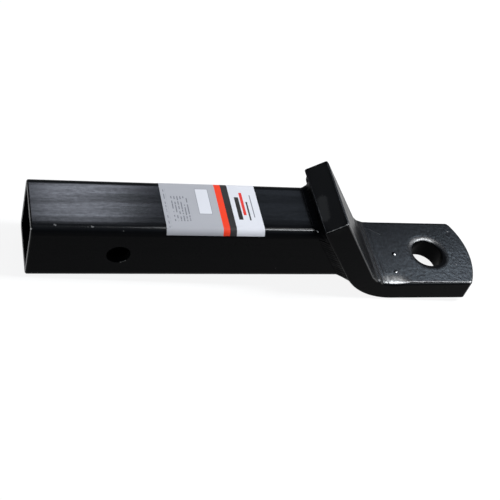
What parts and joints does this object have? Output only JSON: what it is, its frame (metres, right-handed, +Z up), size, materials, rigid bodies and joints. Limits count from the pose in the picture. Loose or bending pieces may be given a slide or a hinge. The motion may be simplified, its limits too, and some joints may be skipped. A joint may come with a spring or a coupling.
{
  "type": "ball mount",
  "caption": "Drop ball mount: a hollow square shank with a cross hole for the hitch pin, welded to a bent flat bar whose level platform is punched for a tow ball.",
  "frame": {"origin": "centre of the hitch pin hole, on the axis of the shank", "axes": "+X along the shank from the vehicle to the tow ball, +Z up, along the ball hole"},
  "size_m": [0.36, 0.065, 0.086],
  "materials": {
    "black_paint": "satin black paint over steel, orange peel, chipped at the edges",
    "weld_paint": "satin black paint over rippled weld metal",
    "label_sheet": "printed sheet label in bands of colour"
  },
  "bodies": {
    "root": {"shank_tube": "black_paint", "tongue_bar": "black_paint", "top_weld": "weld_paint", "bottom_weld": "weld_paint", "left_weld": "weld_paint", "right_weld": "weld_paint", "shank_label": "label_sheet"}
  },
  "joints": []
}
